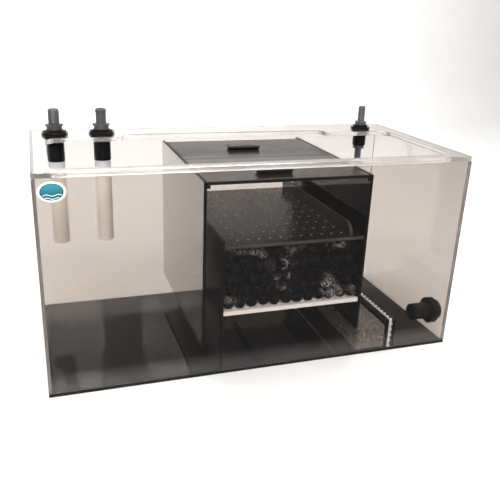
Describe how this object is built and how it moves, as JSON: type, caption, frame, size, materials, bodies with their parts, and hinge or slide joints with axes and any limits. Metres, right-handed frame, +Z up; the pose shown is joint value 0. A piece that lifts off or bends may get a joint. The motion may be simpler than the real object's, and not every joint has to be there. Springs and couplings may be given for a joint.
{
  "type": "wet-dry aquarium sump filter",
  "caption": "Clear acrylic trickle filter sump: black tower with drip plate and bio-ball bed, loose lids, foam block, screened divider and bulkhead hose fittings.",
  "frame": {"origin": "centre of the tank's underside", "axes": "+X towards the outlet end, -Y the front with the badge, +Z up"},
  "size_m": [0.822, 0.3816, 0.457],
  "materials": {
    "clear_acrylic": "clear, polished edges",
    "black_acrylic": "glossy",
    "badge": "printed label, glossy",
    "white_grate": "satin",
    "bio_balls": "satin",
    "foam": "open-cell foam",
    "black_plastic": "satin, moulded",
    "gasket": "matte",
    "grey_pvc": "satin, moulded",
    "white_pipe": "satin, extruded"
  },
  "bodies": {
    "tank": {"bottom_panel": "black_acrylic", "front_panel": "clear_acrylic", "back_panel": "clear_acrylic", "left_end_panel": "clear_acrylic", "right_end_panel": "clear_acrylic", "top_brace": "clear_acrylic", "badge": "badge", "tower_left_wall": "black_acrylic", "weir_wall": "black_acrylic", "tower_right_wall": "black_acrylic", "lid_ledge_left": "black_acrylic", "lid_ledge_right": "black_acrylic", "plate_ledge_left": "black_acrylic", "plate_ledge_right": "black_acrylic", "grate_ledge_left": "black_acrylic", "grate_ledge_right": "black_acrylic", "grate_beam": "black_acrylic", "media_grate": "white_grate", "bio_ball_bed": "bio_balls", "divider_plate_inner": "black_acrylic", "divider_plate_outer": "black_acrylic", "inlet_1_body": "black_plastic", "inlet_1_gasket": "gasket", "inlet_1_nut": "black_plastic", "inlet_1_hose_tail": "grey_pvc", "inlet_1_coupler": "grey_pvc", "inlet_1_pipe": "white_pipe", "inlet_2_body": "black_plastic", "inlet_2_gasket": "gasket", "inlet_2_nut": "black_plastic", "inlet_2_hose_tail": "grey_pvc", "inlet_2_coupler": "grey_pvc", "inlet_2_pipe": "white_pipe", "return_body": "black_plastic", "return_gasket": "gasket", "return_nut": "black_plastic", "return_hose_tail": "grey_pvc", "return_lower_tail": "grey_pvc", "outlet_body": "black_plastic", "outlet_gasket": "gasket", "outlet_nut": "black_plastic"},
    "front_lid": {"front_lid": "black_acrylic", "front_handle_riser": "black_acrylic", "front_handle_grip": "black_acrylic"},
    "rear_lid": {"rear_lid": "black_acrylic", "rear_handle_riser": "black_acrylic", "rear_handle_grip": "black_acrylic"},
    "drip_plate": {"drip_plate": "black_acrylic", "drip_dam": "black_acrylic"},
    "foam_block": {"foam_block": "foam"},
    "divider_screen": {"divider_screen": "white_grate"}
  },
  "joints": [
    {"name": "front_lid_tilt", "type": "hinge", "parent": "tank", "child": "front_lid", "pos_m": [0.034, -0.184, 0.378], "axis": [1, 0, 0], "range_deg": [0, 40]},
    {"name": "rear_lid_tilt", "type": "hinge", "parent": "tank", "child": "rear_lid", "pos_m": [0.034, 0.168, 0.378], "axis": [-1, 0, 0], "range_deg": [0, 18]},
    {"name": "drip_plate_lift", "type": "slide", "parent": "tank", "child": "drip_plate", "axis": [0, 0, 1], "range_m": [0, 0.08]},
    {"name": "foam_block_lift", "type": "slide", "parent": "tank", "child": "foam_block", "axis": [0, 0, 1], "range_m": [0, 0.3]},
    {"name": "divider_screen_lift", "type": "slide", "parent": "tank", "child": "divider_screen", "axis": [0, 0, 1], "range_m": [0, 0.3]}
  ]
}
